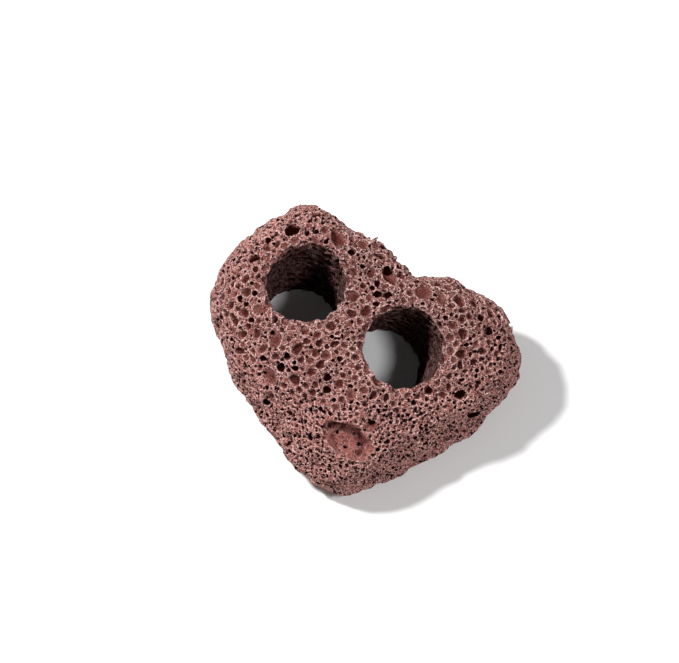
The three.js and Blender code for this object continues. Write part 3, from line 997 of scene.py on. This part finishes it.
def aim(item, target):
    item.rotation_euler = (Vector(target) - item.location).to_track_quat("-Z", "Y").to_euler()


def soft_light(name, place, size, power):
    data = bpy.data.lights.new(name, "AREA")
    data.shape = "DISK"
    data.size = size
    data.energy = power
    lamp = bpy.data.objects.new(name, data)
    lamp.location = place
    aim(lamp, LIT_POINT)
    bpy.context.scene.collection.objects.link(lamp)


def make_camera(settings):
    """Puts the rock at its place and size in the photograph's frame."""
    data = bpy.data.cameras.new("camera")
    data.lens = data.sensor_width * settings.distance / (IMAGE[0] * settings.pixel)
    data.clip_start = 0.1
    data.clip_end = 20
    camera = bpy.data.objects.new("camera", data)
    aside, above = MIDDLE_PIXEL[0] - IMAGE[0] / 2, IMAGE[1] / 2 - MIDDLE_PIXEL[1]
    across, up = mm(SEEN_MIDDLE) - np.array((aside, above)) * settings.pixel
    level = MIDDLE_HEIGHT * MM
    back = (up - level * SIGHT_UP[2]) / SIGHT_UP[1]
    target = Vector((across, back, level))
    camera.location = target - Vector(SIGHT_WAY) * settings.distance
    aim(camera, target)
    bpy.context.scene.collection.objects.link(camera)
    bpy.context.scene.camera = camera


class LAVA_OT_studio(bpy.types.Operator):
    """Makes the floor, the lights and the camera"""

    bl_idname = "lava.studio"
    bl_label = "Studio"

    def execute(self, context):
        settings = context.scene.lava_studio
        form = bmesh.new()
        bmesh.ops.create_grid(form, x_segments=1, y_segments=1, size=6)
        mesh = bpy.data.meshes.new("studio_floor")
        form.to_mesh(mesh)
        form.free()
        floor = bpy.data.objects.new("studio_floor", mesh)
        context.scene.collection.objects.link(floor)
        material = bpy.data.materials.new("studio_floor")
        material.use_nodes = True
        shader = material.node_tree.nodes["Principled BSDF"]
        shader.inputs["Base Color"].default_value = (*settings.floor, 1)
        shader.inputs["Roughness"].default_value = 0.9
        mesh.materials.append(material)
        soft_light("light_above", (-0.5, 0.2, 0.84), 0.13, 1.03 * settings.light)
        soft_light("light_front", (0.42, -0.3, 0.85), 0.15, 0.37 * settings.light)
        world = bpy.data.worlds.new("studio")
        world.use_nodes = True
        world.node_tree.nodes["Background"].inputs["Color"].default_value = (1, 1, 1, 1)
        world.node_tree.nodes["Background"].inputs["Strength"].default_value = WORLD_LIGHT
        context.scene.world = world
        context.scene.view_settings.view_transform = "Standard"
        make_camera(settings)
        return {"FINISHED"}


class LAVA_PT_panel(bpy.types.Panel):
    """Lists what the add-on makes"""

    bl_idname = "LAVA_PT_panel"
    bl_label = "Lava Rock"
    bl_space_type = "VIEW_3D"
    bl_region_type = "UI"
    bl_category = "Lava Rock"

    def draw(self, context):
        scene = context.scene
        for title, settings, operator in (
            ("Form", scene.lava_form, None),
            ("Colours", scene.lava_colours, LAVA_OT_rock),
            ("Studio", scene.lava_studio, LAVA_OT_studio),
        ):
            box = self.layout.box()
            box.label(text=title)
            for name in settings.bl_rna.properties.keys():
                if name not in ("rna_type", "name"):
                    box.prop(settings, name)
            if operator:
                box.operator(operator.bl_idname)


CLASSES = (
    LavaRockForm, LavaRockColours, LavaRockStudio, LAVA_OT_rock, LAVA_OT_studio, LAVA_PT_panel,
)


def register():
    for cls in CLASSES:
        bpy.utils.register_class(cls)
    bpy.types.Scene.lava_form = PointerProperty(type=LavaRockForm)
    bpy.types.Scene.lava_colours = PointerProperty(type=LavaRockColours)
    bpy.types.Scene.lava_studio = PointerProperty(type=LavaRockStudio)


def unregister():
    del bpy.types.Scene.lava_studio
    del bpy.types.Scene.lava_colours
    del bpy.types.Scene.lava_form
    for cls in reversed(CLASSES):
        bpy.utils.unregister_class(cls)


def main():
    register()
    bpy.ops.lava.rock()
    bpy.ops.lava.studio()


if __name__ == "__main__":
    main()
